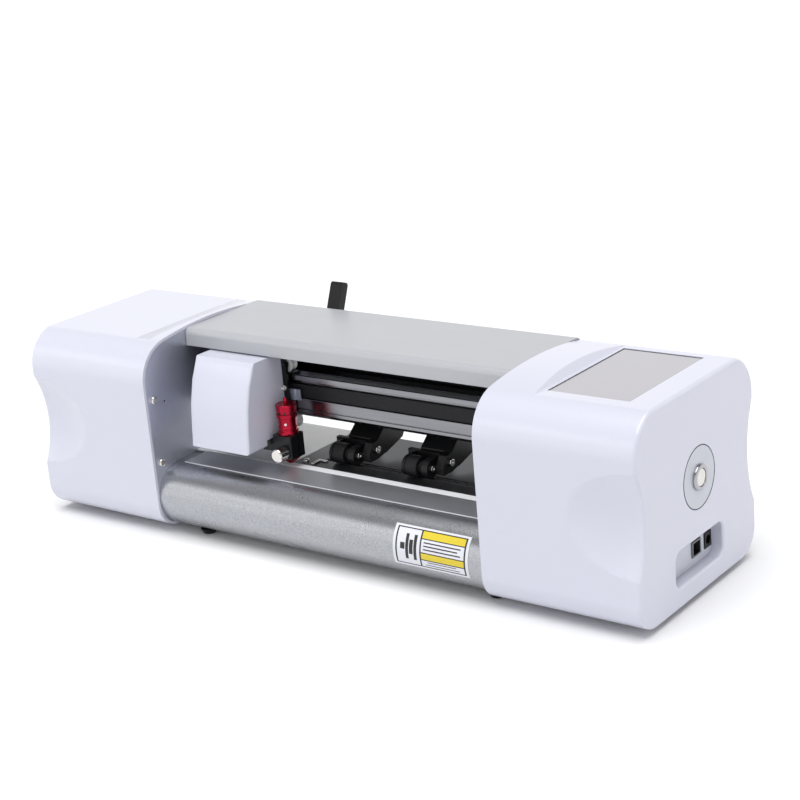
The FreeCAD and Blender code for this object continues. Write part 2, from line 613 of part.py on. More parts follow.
def lever_plate():
    """Cranked lever blade that leaves the cover through its rear slot."""
    side = [(42, 96), (50, 93), (57.5, 108), (67.5, 134.5), (79, 162.4), (78.2, 164.4), (73.4, 166.2),
            (71.8, 165), (60, 137), (41.5, 103)]
    blade = profile_x(side, lever_x[0], lever_x[1])
    blade = soften(blade, 1.2, lambda e: along(e, "x") and e.CenterOfMass.z > 120)
    return blade.cut(rod("x", -100, (cam_y, cam_z), cam_shaft_radius, 60))


save("lift_lever", lever_plate())

# --- carriage -------------------------------------------------------------------------------------
low_wheel_z = rail_bottom - ridge_gap - groove_radius
high_wheel_z = rail_top + ridge_gap + groove_radius
wheel_places = [("low_left", wheel_x[0], low_wheel_z), ("low_right", wheel_x[1], low_wheel_z),
                ("high_left", wheel_x[0], high_wheel_z), ("high_right", wheel_x[1], high_wheel_z)]

plate_low, plate_high = 78.5, 129.0
carriage_plate = block(-119, -62.8, plate_front, plate_back, plate_low, plate_high)
carriage_plate = soften(carriage_plate, 3, lambda e: along(e, "y"))


def v_wheel(x, z):
    """Grooved wheel that straddles a rail ridge."""
    half, lip = wheel_width / 2, 0.7
    points = [(1.5 + 0.5 + run, -half), (wheel_radius, -half), (wheel_radius, -half + lip),
              (groove_radius, -0.5), (groove_radius, 0.5), (wheel_radius, half - lip),
              (wheel_radius, half), (1.5 + 0.5 + run, half)]
    wire = Part.makePolygon([V(r, y, 0) for r, y in points + points[:1]])
    wheel = Part.Face(wire).revolve(V(0, 0, 0), V(0, 1, 0), 360)
    wheel.translate(V(x, ridge_y, z))
    return wheel


axles = []
for name, x, z in wheel_places:
    save("v_wheel_" + name, v_wheel(x, z))
    axle = rod("y", plate_front, (x, z), 2.0, ridge_y + wheel_width / 2 + 1.2 - plate_front)
    cap = rod("y", ridge_y + wheel_width / 2 + 0.3, (x, z), 3.2, 1.6)
    spacer = rod("y", plate_back, (x, z), 3.0, ridge_y - wheel_width / 2 - 0.3 - plate_back)
    axles.append(fuse(axle, cap, spacer))


cover_side = [(-61, cover_bottom), (-59.4, 88), (-57.5, 103), (-53.2, 120), (-47.2, 133), (-44.6, 136),
              (plate_front, 136), (plate_front, notch_z), (notch_y, notch_z), (notch_y, cover_bottom)]
shell = profile_x(cover_side, cover_left, cover_right)
shell = soften(shell, 2.0, lambda e: e.CenterOfMass.y < -50 and abs(e.CenterOfMass.x + 95.6) > 27)
hollow_side = [(-61 + cover_wall, cover_bottom - 1), (-59.4 + cover_wall, 88), (-57.5 + cover_wall, 103),
               (-53.2 + cover_wall, 119), (-47.2 + cover_wall, 131), (-45.2 + cover_wall, 136 - cover_wall),
               (-10, 136 - cover_wall), (-10, 60), (-59, 60)]
shell = shell.cut(profile_x(hollow_side, cover_left + cover_wall, cover_right - cover_wall))
save("carriage_cover", shell)

belt_tab = block(-65.5, -64.0, -12.9, -11.3, 99.3, 108.0)
belt_tab = belt_tab.fuse(block(-65.5, -54.0, -12.2, -11.0, 99.3, 107.6))
belt_tab = fuse(belt_tab, block(-64.5, -58.5, -13.0, -12.0, 99.3, 107.6))
save("belt_clamp_tab", belt_tab)

rods_x, rods_y, rod_radius = (-79.5, -88.5), -31.0, 2.0
holders = []
for low, high in ((plate_low, plate_low + 3), (112.0, 115.0)):
    shelf = block(-94, -74.2, -37, plate_front, low, high)
    holders.append(cut(shelf, *[rod("z", low - 1, (x, rods_y), rod_radius, 5) for x in rods_x]))
save("carriage_plate", fuse(carriage_plate, *holders, *axles))
save("guide_rods", *[rod("z", plate_low, (x, rods_y), rod_radius, 36.5) for x in rods_x])

coil_x, coil_y, plunger_radius = -108.0, -32.0, 2.5
coil = block(-117.5, -98.5, -43, plate_front, 92, 122)
coil = coil.makeChamfer(2, [e for e in coil.Edges if along(e, "z") and e.CenterOfMass.y < -40])
save("lift_solenoid", coil.cut(rod("z", 91, (coil_x, coil_y), plunger_radius + 0.1, 20)))

slider = block(-94, -73.6, -37, -25, 85, 103)
slider = cut(slider, *[rod("z", 80, (x, rods_y), rod_radius + run, 24) for x in rods_x])
slider = slider.fuse(block(-112, -94, -37, -27, 85, 88))
slider = slider.fuse(rod("z", 88, (coil_x, coil_y), plunger_radius, 14))
bracket = block(-73.6, -70.6, -37, -25, 66.5, 103).fuse(block(-73.6, clamp_box[0], -37, -25, 66.5, 74.4))
save("tool_slide", fuse(slider, bracket))

holder_bore = 7.0
clamp = block(*clamp_box)
clamp = soften(clamp, 1.4, lambda e: along(e, "z"))
clamp = clamp.cut(rod("z", 60, (tool_x, tool_y), holder_bore, 25))
clamp = clamp.cut(block(clamp_box[1] - 5.2, clamp_box[1] + 1, tool_y - 0.7, tool_y + 0.7, 60, 82))
clamp = clamp.cut(rod("y", clamp_box[2] - 1, (screw_x, screw_z), 2.1, 6))
save("holder_clamp", clamp)

holder = rod("z", 61.0, (tool_x, tool_y), holder_bore - 0.05, 20)
holder = holder.fuse(Part.makeCone(2.6, 6.2, 3.8, V(tool_x, tool_y, 57.2), V(0, 0, 1)))
holder = holder.fuse(rod("z", 80.1, (tool_x, tool_y), 7.8, 2.4))
holder = holder.fuse(rod("z", 82.5, (tool_x, tool_y), 6.9, 10.2))
holder = holder.fuse(rod("z", 84.6, (tool_x, tool_y), 7.3, 1.2))
holder = cut(holder, rod("z", 50, (tool_x, tool_y), 1.0, 36), rod("z", 86, (tool_x, tool_y), 1.6, 10))
save("blade_holder", holder.removeSplitter())
blade = rod("z", 60, (tool_x, tool_y), 0.95, 25)
tip = Part.makeCone(0.05, 0.95, 3.2, V(tool_x, tool_y, 56.8), V(0, 0, 1))
save("blade", blade.fuse(tip).removeSplitter())

cap = rod("z", 93.0, (tool_x, tool_y), 7.8, 9.8)
cap = soften(cap, 0.7, lambda e: e.CenterOfMass.z > 102)
cap = cap.cut(tube("z", 95.6, (tool_x, tool_y), 9, 6.9, 2.2))
cap = cap.cut(rod("z", 92, (tool_x, tool_y), 1.6, 12))
for n in range(12):
    a = math.radians(30 * n)
    cap = cap.cut(rod("z", 101.6, (tool_x + 5.2 * math.cos(a), tool_y + 5.2 * math.sin(a)), 0.7, 2))
save("holder_cap", cap)
eject_pin = rod("z", 92.5, (tool_x, tool_y), 1.5, 14.9)
save("eject_pin", soften(eject_pin, 0.6, lambda e: e.CenterOfMass.z > 107))

screw = rod("y", -49.3, (screw_x, screw_z), 5.2, 9.6)
screw = soften(screw, 1.6, lambda e: e.CenterOfMass.y < -49)
for n in range(20):
    a = math.radians(18 * n)
    notch_line = (screw_x + 5.35 * math.cos(a), screw_z + 5.35 * math.sin(a))
    screw = screw.cut(rod("y", -46.8, notch_line, 0.4, 8))
screw = screw.fuse(rod("y", -39.7, (screw_x, screw_z), 2.0, 2.4))
save("thumbscrew", screw.removeSplitter())

# --- screen, button and sockets --------------------------------------------------------------------
save("touch_glass", soften(block(*screen_x, *screen_y, 145.8, 147.4), 0.4,
                           lambda e: e.CenterOfMass.z > 147.3))
save("screen_module", block(screen_x[0] - 3, screen_x[1] + 3, screen_y[0] - 3, screen_y[1] + 3, 140, 145.8))

disc = rod("x", cap_right_end - 0.6, (button_y, button_z), 21.4, 0.6)
save("button_disc", disc.cut(rod("x", 260, (button_y, button_z), 8.1, 10)))
bezel = rod("x", cap_right_end, (button_y, button_z), 9.0, 2.0)
bezel = soften(bezel, 1.2, lambda e: e.CenterOfMass.x > cap_right_end + 1.9)
bezel = bezel.fuse(rod("x", 242, (button_y, button_z), 8.0, 24))
bezel = bezel.cut(rod("x", 256, (button_y, button_z), 6.1, 14))
save("button_bezel", bezel.removeSplitter())
save("button_cap", soften(rod("x", 258, (button_y, button_z), 6.0, 9.5), 0.5,
                          lambda e: e.CenterOfMass.x > 267))

plate = block(257, 257.8, -31.5, 30.9, 20.3, 41.5)
plate = soften(plate, 4.5, lambda e: along(e, "x"))
usb_face = block(256, 259, usb_y - 6.1, usb_y + 6.1, socket_z - 5.9, socket_z + 5.7)
dc_face = block(256, 259, dc_y - 4.6, dc_y + 4.6, socket_z - 5.9, socket_z + 5.7)
save("connector_plate", cut(plate, usb_face, dc_face))

usb = block(242, 258.6, usb_y - 6, usb_y + 6, socket_z - 5.6, socket_z + 5.4)
usb_mouth = block(250, 260, usb_y - 4.6, usb_y + 4.6, socket_z - 4.4, socket_z + 4.2)
tongue = block(249, 253.5, usb_y - 2.8, usb_y + 2.8, socket_z - 1.6, socket_z + 1.6)
save("usb_socket", usb.cut(usb_mouth).fuse(tongue))
dc = block(243, 258.6, dc_y - 4.5, dc_y + 4.5, socket_z - 5.6, socket_z + 5.4)
dc = dc.cut(rod("x", 246, (dc_y, socket_z), 3.1, 14)).fuse(rod("x", 245, (dc_y, socket_z), 1.0, 8))
save("power_socket", dc.removeSplitter())

board = block(board_x, board_x + 1.6, -53, 46, 61, 125)
board = cut(board, *[rod("x", board_x - 1, place, 1.6, 4) for place in board_holes])
chips = [block(board_x + 1.6, board_x + 4, -30, -16, 86, 100),
         block(board_x + 1.6, board_x + 10, 8, 30, 98, 110),
         block(board_x + 1.6, board_x + 9, -46, -28, 104, 116),
         block(board_x + 1.6, board_x + 3.4, 0, 9, 76, 85)]
save("control_board", fuse(board, *chips))
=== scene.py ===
import bpy
import math
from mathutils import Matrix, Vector


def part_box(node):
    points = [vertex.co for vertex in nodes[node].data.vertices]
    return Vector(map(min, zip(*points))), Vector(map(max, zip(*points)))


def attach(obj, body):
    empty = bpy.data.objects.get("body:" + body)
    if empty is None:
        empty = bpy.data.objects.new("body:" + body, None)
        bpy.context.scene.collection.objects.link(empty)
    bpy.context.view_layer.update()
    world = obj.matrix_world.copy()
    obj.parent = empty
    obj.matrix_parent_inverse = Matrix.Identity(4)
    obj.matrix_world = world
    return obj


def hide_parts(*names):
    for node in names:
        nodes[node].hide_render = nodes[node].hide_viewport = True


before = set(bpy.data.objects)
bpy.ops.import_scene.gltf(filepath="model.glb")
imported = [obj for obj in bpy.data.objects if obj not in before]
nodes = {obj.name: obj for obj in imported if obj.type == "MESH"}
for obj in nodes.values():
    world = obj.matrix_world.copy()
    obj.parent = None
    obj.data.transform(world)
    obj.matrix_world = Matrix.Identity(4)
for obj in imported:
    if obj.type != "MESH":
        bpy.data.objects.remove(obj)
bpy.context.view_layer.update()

mm = 0.001
print("frame loaded,", len(nodes), "nodes")

# finishes: colour, how much it drifts, gloss, and grain as scale and height
looks = {
    "capWhite": {"colour": (0.575, 0.585, 0.675), "drift": 0.012, "rough": 0.24, "coat": 0.3,
                 "grain": (2600, 0.02)},
    "carriageWhite": {"colour": (0.57, 0.58, 0.675), "drift": 0.012, "rough": 0.26, "coat": 0.25,
                      "grain": (2600, 0.02)},
    "coverGrey": {"colour": (0.41, 0.42, 0.445), "drift": 0.015, "rough": 0.36, "metal": 0.1,
                  "grain": (2600, 0.05)},
    "apronSilver": {"colour": (0.4, 0.41, 0.435), "drift": 0.13, "rough": 0.28, "metal": 0.97,
                    "grain": (1700, 0.2)},
    "frameSilver": {"colour": (0.58, 0.6, 0.69), "drift": 0.04, "rough": 0.4, "metal": 0.9,
                    "grain": (2400, 0.1)},
    "platenSilver": {"colour": (0.56, 0.57, 0.61), "drift": 0.05, "rough": 0.34, "metal": 0.85,
                     "grain": (2400, 0.08)},
    # two tones of one deck metal: painted reflection on the left plate, painted shade on the right plate
    "deckPaintedReflection": {"colour": (0.8, 0.8, 0.8), "drift": 0.03, "rough": 0.3, "metal": 0.4,
                  "grain": (1500, 0.05)},
    "deckPaintedShade": {"colour": (0.06, 0.063, 0.07), "drift": 0.04, "rough": 0.3, "metal": 0.85,
                 "grain": (1500, 0.05)},
    "railAluminium": {"colour": (0.26, 0.265, 0.28), "drift": 0.05, "rough": 0.2, "metal": 1.0,
                      "streak": 1, "grain": (900, 0.06)},
    "stripWhite": {"colour": (0.84, 0.85, 0.88), "drift": 0.03, "rough": 0.5, "grain": (900, 0.04)},
    "beltRubber": {"colour": (0.01, 0.01, 0.012), "drift": 0.2, "rough": 0.5, "grain": (2200, 0.1),
                   "shine": 0.25},
    "wheelRubber": {"colour": (0.008, 0.008, 0.009), "drift": 0.25, "rough": 0.5,
                    "grain": (1800, 0.15), "shine": 0.25},
    "footRubber": {"colour": (0.01, 0.01, 0.011), "drift": 0.15, "rough": 0.6, "grain": (1800, 0.1),
                   "shine": 0.25},
    "nickel": {"colour": (0.7, 0.68, 0.65), "drift": 0.03, "rough": 0.16, "metal": 1.0,
               "grain": (2500, 0.03)},
    "darkSteel": {"colour": (0.16, 0.16, 0.175), "drift": 0.08, "rough": 0.36, "metal": 1.0,
                  "grain": (1800, 0.08)},
    "gritSteel": {"colour": (0.06, 0.06, 0.065), "drift": 0.5, "rough": 0.5, "metal": 0.9,
                  "grain": (1400, 0.9)},
    "bronze": {"colour": (0.5, 0.36, 0.19), "drift": 0.08, "rough": 0.36, "metal": 1.0,
               "grain": (2500, 0.1)},
    "blackPlastic": {"colour": (0.007, 0.007, 0.008), "drift": 0.15, "rough": 0.38,
                     "grain": (1600, 0.12), "shine": 0.25},
    "motorBlack": {"colour": (0.012, 0.012, 0.014), "drift": 0.1, "rough": 0.45,
                   "grain": (1500, 0.08), "shine": 0.25},
    "blackMetal": {"colour": (0.008, 0.0085, 0.01), "drift": 0.1, "rough": 0.24, "metal": 0.1,
                   "grain": (2000, 0.06), "shine": 0.25},
    "redAnodised": {"colour": (0.36, 0.01, 0.03), "drift": 0.05, "rough": 0.2, "metal": 0.9,
                    "grain": (3000, 0.03)},
    "tabGrey": {"colour": (0.5, 0.54, 0.64), "drift": 0.04, "rough": 0.3, "metal": 0.8,
                "grain": (2000, 0.05)},
    "wheelGrey": {"colour": (0.6, 0.61, 0.61), "drift": 0.06, "rough": 0.32, "grain": (1500, 0.04)},
    "discSilver": {"colour": (0.53, 0.55, 0.6), "drift": 0.02, "rough": 0.4, "metal": 0.5,
                   "grain": (2500, 0.03)},
    "chrome": {"colour": (0.42, 0.42, 0.44), "drift": 0.01, "rough": 0.07, "metal": 1.0,
               "grain": (3000, 0.01)},
    "boardGreen": {"colour": (0.02, 0.12, 0.05), "drift": 0.2, "rough": 0.4, "grain": (1200, 0.1)},
    "glassGrey": {"colour": (0.335, 0.325, 0.355), "drift": 0.01, "rough": 0.1, "coat": 0.6,
                  "grain": (1500, 0.0)},
    "glassEdge": {"colour": (0.008, 0.008, 0.01), "drift": 0.05, "rough": 0.2,
                  "grain": (1500, 0.02)},
    "labelPaper": {"colour": (0.66, 0.67, 0.72), "drift": 0.01, "rough": 0.4,
                   "grain": (1500, 0.02)},
    "labelInk": {"colour": (0.012, 0.012, 0.014), "drift": 0.05, "rough": 0.4,
                 "grain": (1500, 0.02)},
    "labelYellow": {"colour": (0.66, 0.52, 0.03), "drift": 0.02, "rough": 0.4,
                    "grain": (1500, 0.02)},
}


grainSetup = {"driftShare": 0.6, "driftEdges": (0.35, 0.65), "wearScale": 35, "wearSpread": 0.15,
              "height": 0.2, "coatRough": 0.12, "alongRail": (0.02, 1.0, 1.0)}


def makeFinish(name):
    look = looks[name]
    mat = bpy.data.materials.new(name)
    mat.use_nodes = True
    tree = mat.node_tree
    shader = tree.nodes["Principled BSDF"]
    place = tree.nodes.new("ShaderNodeTexCoord")
    stretch = tree.nodes.new("ShaderNodeMapping")
    if look.get("streak"):
        stretch.inputs["Scale"].default_value = grainSetup["alongRail"]
    tree.links.new(place.outputs["Object"], stretch.inputs["Vector"])

    def noise(scale, detail):
        node = tree.nodes.new("ShaderNodeTexNoise")
        node.inputs["Scale"].default_value = scale
        node.inputs["Detail"].default_value = detail
        tree.links.new(stretch.outputs["Vector"], node.inputs["Vector"])
        return node

    grainScale, grainHeight = look["grain"]
    drift = noise(grainScale * grainSetup["driftShare"], 4)
    ramp = tree.nodes.new("ShaderNodeValToRGB")
    low = [c * (1 - look["drift"]) for c in look["colour"]]
    high = [min(1.0, c * (1 + look["drift"])) for c in look["colour"]]
    for step, edge, tone in zip(ramp.color_ramp.elements, grainSetup["driftEdges"], (low, high)):
        step.position = edge
        step.color = (*tone, 1)
    tree.links.new(drift.outputs["Fac"], ramp.inputs["Fac"])
    tree.links.new(ramp.outputs["Color"], shader.inputs["Base Color"])

    wear = noise(grainSetup["wearScale"], 3)
    gloss = tree.nodes.new("ShaderNodeMapRange")
    gloss.inputs["To Min"].default_value = look["rough"] * (1 - grainSetup["wearSpread"])
    gloss.inputs["To Max"].default_value = look["rough"] * (1 + grainSetup["wearSpread"])
    tree.links.new(wear.outputs["Fac"], gloss.inputs["Value"])
    tree.links.new(gloss.outputs["Result"], shader.inputs["Roughness"])

    grain = noise(grainScale, 3)
    bump = tree.nodes.new("ShaderNodeBump")
    bump.inputs["Strength"].default_value = grainHeight
    bump.inputs["Distance"].default_value = grainSetup["height"] * mm
    tree.links.new(grain.outputs["Fac"], bump.inputs["Height"])
    tree.links.new(bump.outputs["Normal"], shader.inputs["Normal"])

    shader.inputs["Metallic"].default_value = look.get("metal", 0.0)
    shader.inputs["Coat Weight"].default_value = look.get("coat", 0.0)
    shader.inputs["Coat Roughness"].default_value = grainSetup["coatRough"]
    shader.inputs["Specular IOR Level"].default_value = look.get("shine", 0.5)
    return mat


finishes = {name: makeFinish(name) for name in looks}
print("finishes made,", len(finishes))

# nodes that stay as they come, under their finish
keptNodes = {
    "railAluminium": ["carriage_motor_pulley", "idler_pulley", "feed_driven_pulley",
                      "feed_motor_pulley"],
    "stripWhite": ["cutting_strip"],
    "footRubber": ["rubber_feet"],
    "beltRubber": ["carriage_belt", "feed_belt"],
    "nickel": ["roller_axles_and_bolts", "guide_rods", "blade", "button_cap"],
    "gritSteel": ["grit_shaft"],
    "darkSteel": ["usb_socket", "carriage_motor_bracket", "idler_bracket", "feed_motor_bracket",
                  "arm_pivot_shaft", "lift_cam_shaft"],
    "bronze": ["grit_shaft_bushes"],
    "motorBlack": ["carriage_motor", "feed_motor", "lift_solenoid", "screen_module"],
    "blackPlastic": ["power_socket"],
    "redAnodised": ["holder_cap", "eject_pin"],
    "discSilver": ["button_disc", "connector_plate"],
    "boardGreen": ["control_board"],
}
for finishName, members in keptNodes.items():
    for member in members:
        nodes[member].data.materials.clear()
        nodes[member].data.materials.append(finishes[finishName])
print("kept nodes painted")


mergeGap, flatAngle = 0.002 * mm, 0.4   # doubles closer than this, faces flatter than this in degrees


def pickOnly(piece):
    bpy.ops.object.select_all(action="DESELECT")
    piece.select_set(True)
    bpy.context.view_layer.objects.active = piece


def editAll(piece, mode="FACE"):   # edit mode with everything selected
    pickOnly(piece)
    bpy.ops.object.mode_set(mode="EDIT")
    bpy.ops.mesh.select_mode(type=mode)
    bpy.ops.mesh.select_all(action="SELECT")


def selectFaces(piece, test):   # the piece is in edit mode, and stays in it
    bpy.ops.mesh.select_all(action="DESELECT")
    bpy.ops.object.mode_set(mode="OBJECT")
    for face in piece.data.polygons:
        face.select = test(face)
    bpy.ops.object.mode_set(mode="EDIT")


def copyNode(nodeName, pieceName, keep=None):
    piece = bpy.data.objects.new(pieceName, nodes[nodeName].data.copy())
    bpy.context.scene.collection.objects.link(piece)
    editAll(piece, "VERT")
    bpy.ops.mesh.remove_doubles(threshold=mergeGap)
    if keep:
        bpy.ops.mesh.select_mode(type="FACE")
        selectFaces(piece, lambda face: not keep(face.center))
        bpy.ops.mesh.delete(type="FACE")
        bpy.ops.mesh.select_all(action="SELECT")
    bpy.ops.mesh.dissolve_limited(angle_limit=math.radians(flatAngle))
    bpy.ops.object.mode_set(mode="OBJECT")
    return piece


def softenRims(piece, width, steps=2, angle=32):   # rounds every edge sharper than the angle
    pickOnly(piece)
    bpy.ops.object.shade_smooth_by_angle(angle=math.radians(angle))
    rim = piece.modifiers.new("rim", "BEVEL")
    rim.width = width * mm
    rim.segments = steps
    rim.limit_method = "ANGLE"
    rim.angle_limit = math.radians(angle)
    rim.use_clamp_overlap = True
    bpy.ops.object.modifier_apply(modifier="rim")
    bpy.ops.object.shade_smooth_by_angle(angle=math.radians(angle + 8))
    faces = piece.modifiers.new("faces", "WEIGHTED_NORMAL")
    faces.keep_sharp = True
    bpy.ops.object.modifier_apply(modifier="faces")


def dress(piece, finishName, body, slotName, *replaced):   # finish, body, slot (not used), CAD nodes it hides
    piece.data.materials.clear()
    piece.data.materials.append(finishes[finishName])
    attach(piece, body)
    if replaced:
        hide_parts(*replaced)


# mouldings and machined parts whose rims are rounded off as on the real thing
softPieces = {
    "capLeft": {"node": "left_end_cap", "rim": 0.7, "finish": "capWhite", "slot": "cap_white"},
    "capRight": {"node": "right_end_cap", "rim": 0.7, "finish": "capWhite", "slot": "cap_white"},
    "carriageHood": {"node": "carriage_cover", "rim": 1.5, "finish": "carriageWhite",
                     "slot": "cap_white", "body": "carriage", "steps": 4},
    "topSheet": {"node": "top_cover", "rim": 0.25, "finish": "coverGrey", "slot": "cover_paint"},
    "sideFrameLeft": {"node": "left_side_frame", "rim": 0.2, "finish": "frameSilver",
                      "slot": "frame_silver"},
    "sideFrameRight": {"node": "right_side_frame", "rim": 0.2, "finish": "frameSilver",
                       "slot": "frame_silver"},
    "apronSheet": {"node": "bed_sheet", "rim": 0.2, "finish": "apronSilver",
                   "slot": "frame_silver"},
    "platen": {"node": "front_platen", "rim": 0.2, "finish": "platenSilver", "slot": "deck_metal"},
    "stripBar": {"node": "strip_support_bar", "rim": 0.15, "finish": "darkSteel",
                 "slot": "dark_steel"},
    "railBar": {"node": "rail", "rim": 0.25, "finish": "railAluminium", "slot": "rail_aluminium"},
    "panHeads": {"node": "pan_head_screws", "rim": 0.12, "finish": "nickel", "slot": "nickel"},
    "rollerArms": {"node": "pinch_arms", "rim": 0.4, "finish": "blackPlastic",
                   "slot": "black_plastic", "body": "pinch_arms"},
    "rollerForks": {"node": "roller_forks", "rim": 0.35, "finish": "blackPlastic",
                    "slot": "black_plastic", "body": "pinch_arms"},
    "rollerLeft": {"node": "pinch_roller_left", "rim": 0.3, "finish": "wheelRubber",
                   "slot": "black_rubber", "body": "roller_left"},
    "rollerRight": {"node": "pinch_roller_right", "rim": 0.3, "finish": "wheelRubber",
                    "slot": "black_rubber", "body": "roller_right"},
    "liftHandle": {"node": "lift_lever", "rim": 0.5, "finish": "blackPlastic",
                   "slot": "black_plastic", "body": "lift_shaft"},
    "backPlate": {"node": "carriage_plate", "rim": 0.25, "finish": "blackMetal",
                  "slot": "black_metal", "body": "carriage"},
    "beltTab": {"node": "belt_clamp_tab", "rim": 0.15, "finish": "tabGrey", "slot": "tab_grey",
                "body": "carriage"},
    "toolSlider": {"node": "tool_slide", "rim": 0.25, "finish": "blackMetal", "slot": "black_metal",
                   "body": "tool"},
    "toolClamp": {"node": "holder_clamp", "rim": 0.4, "finish": "blackMetal", "slot": "black_metal",
                  "body": "tool"},
    "toolHolder": {"node": "blade_holder", "rim": 0.25, "finish": "redAnodised",
                   "slot": "red_anodised", "body": "tool"},
    "clampScrew": {"node": "thumbscrew", "rim": 0.12, "finish": "nickel", "slot": "nickel",
                   "body": "thumbscrew"},
    "screenGlass": {"node": "touch_glass", "rim": 0.15, "finish": "glassGrey",
                    "slot": "screen_glass"},
    "buttonRing": {"node": "button_bezel", "rim": 0.2, "finish": "chrome", "slot": "chrome"},
    "wheelLowLeft": {"node": "v_wheel_low_left", "rim": 0.25, "finish": "wheelGrey",
                     "slot": "wheel_grey", "body": "wheel_low_left"},
    "wheelLowRight": {"node": "v_wheel_low_right", "rim": 0.25, "finish": "wheelGrey",
                      "slot": "wheel_grey", "body": "wheel_low_right"},
    "wheelHighLeft": {"node": "v_wheel_high_left", "rim": 0.25, "finish": "wheelGrey",
                      "slot": "wheel_grey", "body": "wheel_high_left"},
    "wheelHighRight": {"node": "v_wheel_high_right", "rim": 0.25, "finish": "wheelGrey",
                       "slot": "wheel_grey", "body": "wheel_high_right"},
}
for pieceName, spec in softPieces.items():
    piece = copyNode(spec["node"], pieceName)
    softenRims(piece, spec["rim"], spec.get("steps", 2))
    dress(piece, spec["finish"], spec.get("body", "frame"), spec["slot"], spec["node"])
print("rims rounded on", len(softPieces), "pieces")

# the rear deck is cut into two plates at a plate edge, the left one in brighter metal: one deck metal in
# two tones, the left plate painted bright as a painted reflection and the right plate painted dark as
# painted shade
deckPlates = {"split": -57 * mm, "rim": 0.2}
deckLeft = copyNode("rear_deck_plates", "deckLeft", lambda at: at.x < deckPlates["split"])
deckRight = copyNode("rear_deck_plates", "deckRight", lambda at: at.x > deckPlates["split"])
for piece, finishName in ((deckLeft, "deckPaintedReflection"), (deckRight, "deckPaintedShade")):
    softenRims(piece, deckPlates["rim"])
    dress(piece, finishName, "frame", "deck_metal", "rear_deck_plates")
print("deck plates made")

# printed label: each band runs between two distances along it and two heights, in parts of the whole
label = {
    "axle": (-53.5, 28.6), "angles": (-22.8, 45.6), "smooth": 30,
    "ink": [(0.035, 0.965, 0.05, 0.95)],
    "paper": [(0.055, 0.36, 0.075, 0.925), (0.38, 0.945, 0.43, 0.73), (0.38, 0.945, 0.075, 0.235)],
    "yellow": [(0.38, 0.945, 0.755, 0.925), (0.38, 0.945, 0.26, 0.405)],
    "marks": [(0.10, 0.16, 0.42, 0.58), (0.17, 0.21, 0.20, 0.80), (0.22, 0.27, 0.33, 0.67),
              (0.28, 0.32, 0.20, 0.80), (0.41, 0.90, 0.645, 0.675), (0.41, 0.86, 0.565, 0.595),
              (0.41, 0.90, 0.485, 0.515),
              (0.46, 0.84, 0.185, 0.205), (0.43, 0.88, 0.115, 0.135)],
}
labelPiece = copyNode("apron_label", "apronLabel")
labelLow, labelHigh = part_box("apron_label")
rollY, rollZ = [v * mm for v in label["axle"]]


def labelSpot(at):
    across = (at[0] - labelLow[0]) / (labelHigh[0] - labelLow[0])
    tilt = math.degrees(math.atan2(at[2] - rollZ, rollY - at[1]))
    return across, (tilt - label["angles"][0]) / (label["angles"][1] - label["angles"][0])


bands = label["ink"] + label["paper"] + label["yellow"] + label["marks"]
for share in sorted({v for band in bands for v in band[:2]}):
    editAll(labelPiece)
    cutX = labelLow[0] + share * (labelHigh[0] - labelLow[0])
    bpy.ops.mesh.bisect(plane_co=(cutX, 0, 0), plane_no=(1, 0, 0))
    bpy.ops.object.mode_set(mode="OBJECT")
for share in sorted({v for band in bands for v in band[2:]}):
    tilt = math.radians(label["angles"][0] + share * (label["angles"][1] - label["angles"][0]))
    editAll(labelPiece)
    bpy.ops.mesh.bisect(plane_co=(0, rollY, rollZ), plane_no=(0, math.sin(tilt), math.cos(tilt)))
    bpy.ops.object.mode_set(mode="OBJECT")
dress(labelPiece, "labelPaper", "frame", "label_print", "apron_label")
for finishName in ("labelInk", "labelYellow"):
    labelPiece.data.materials.append(finishes[finishName])
layers = (("ink", 1), ("paper", 0), ("yellow", 2), ("marks", 1))
for face in labelPiece.data.polygons:
    across, up = labelSpot(face.center)
    for layer, index in layers:
        if any(x0 < across < x1 and z0 < up < z1 for x0, x1, z0, z1 in label[layer]):
            face.material_index = index
pickOnly(labelPiece)
bpy.ops.object.shade_smooth_by_angle(angle=math.radians(label["smooth"]))
print("label printed")

# cap screw on the carriage plate, with a round socket
capScrew = {"at": (-65.3, 109.2), "front": -15.4, "radius": 2.4, "height": 2.2, "sides": 36,
            "round": 0.7, "roundSteps": 4, "roundAngle": 60, "socket": 1.15, "socketDepth": 0.9}
bpy.ops.object.select_all(action="DESELECT")
bpy.ops.mesh.primitive_cylinder_add(
    vertices=capScrew["sides"], radius=capScrew["radius"] * mm, depth=capScrew["height"] * mm,
    location=(capScrew["at"][0] * mm, (capScrew["front"] - capScrew["height"] / 2) * mm,
              capScrew["at"][1] * mm),
    rotation=(math.radians(90), 0, 0))
screwPiece = bpy.context.object
screwPiece.name = "plateScrew"
bpy.ops.object.transform_apply(location=True, rotation=True, scale=True)
bpy.ops.object.mode_set(mode="EDIT")
selectFaces(screwPiece, lambda face: face.normal.y < -0.9)
bpy.ops.mesh.inset(thickness=(capScrew["radius"] - capScrew["socket"]) * mm)
bpy.ops.mesh.extrude_region_move(TRANSFORM_OT_translate={"value": (0, capScrew["socketDepth"] * mm, 0)})
bpy.ops.object.mode_set(mode="OBJECT")
softenRims(screwPiece, capScrew["round"], capScrew["roundSteps"], capScrew["roundAngle"])
dress(screwPiece, "nickel", "carriage", "nickel")

